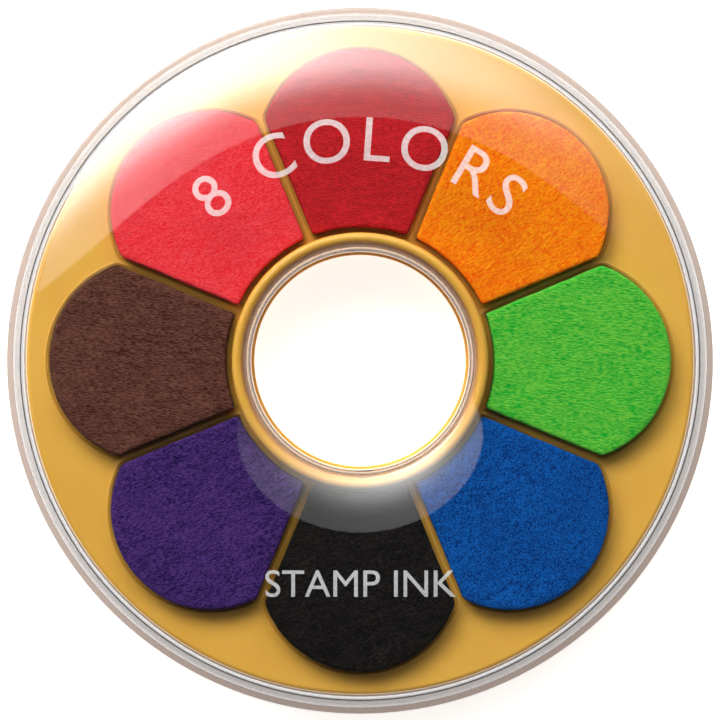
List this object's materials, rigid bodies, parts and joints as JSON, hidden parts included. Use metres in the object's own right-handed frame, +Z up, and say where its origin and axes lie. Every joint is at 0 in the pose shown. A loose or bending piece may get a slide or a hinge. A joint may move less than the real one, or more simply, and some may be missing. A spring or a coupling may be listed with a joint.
{
  "type": "ink pad",
  "caption": "Ring-shaped stamp ink pad: petal-shaped pads of different colours in a yellow tray round a finger hole, under a clear domed lid that lifts off.",
  "frame": {"origin": "on the ring's axis, on the surface that the base stands on", "axes": "+Z up along the ring's axis; +X through the middle of the green pad, and the colours follow anticlockwise: green, orange, crimson, rose, brown, purple, black, blue"},
  "size_m": [0.11, 0.11, 0.02],
  "materials": {
    "yellow_plastic": "satin moulded",
    "clear_plastic": "clear, polished",
    "green_fabric": "napped, inked",
    "orange_fabric": "napped, inked",
    "crimson_fabric": "napped, inked",
    "rose_fabric": "napped, inked",
    "brown_fabric": "napped, inked",
    "purple_fabric": "napped, inked",
    "black_fabric": "napped, inked",
    "blue_fabric": "napped, inked",
    "green_felt": "felt, inked",
    "orange_felt": "felt, inked",
    "crimson_felt": "felt, inked",
    "rose_felt": "felt, inked",
    "brown_felt": "felt, inked",
    "purple_felt": "felt, inked",
    "black_felt": "felt, inked",
    "blue_felt": "felt, inked"
  },
  "bodies": {
    "tray": {"tray": "yellow_plastic", "base_ring": "yellow_plastic", "green_pad_face": "green_fabric", "orange_pad_face": "orange_fabric", "crimson_pad_face": "crimson_fabric", "rose_pad_face": "rose_fabric", "brown_pad_face": "brown_fabric", "purple_pad_face": "purple_fabric", "black_pad_face": "black_fabric", "blue_pad_face": "blue_fabric", "green_ink_core": "green_felt", "orange_ink_core": "orange_felt", "crimson_ink_core": "crimson_felt", "rose_ink_core": "rose_felt", "brown_ink_core": "brown_felt", "purple_ink_core": "purple_felt", "black_ink_core": "black_felt", "blue_ink_core": "blue_felt"},
    "lid": {"lid": "clear_plastic"}
  },
  "joints": [
    {"name": "lid_lift", "type": "slide", "parent": "tray", "child": "lid", "axis": [0, 0, 1], "range_m": [0, 0.03]}
  ]
}
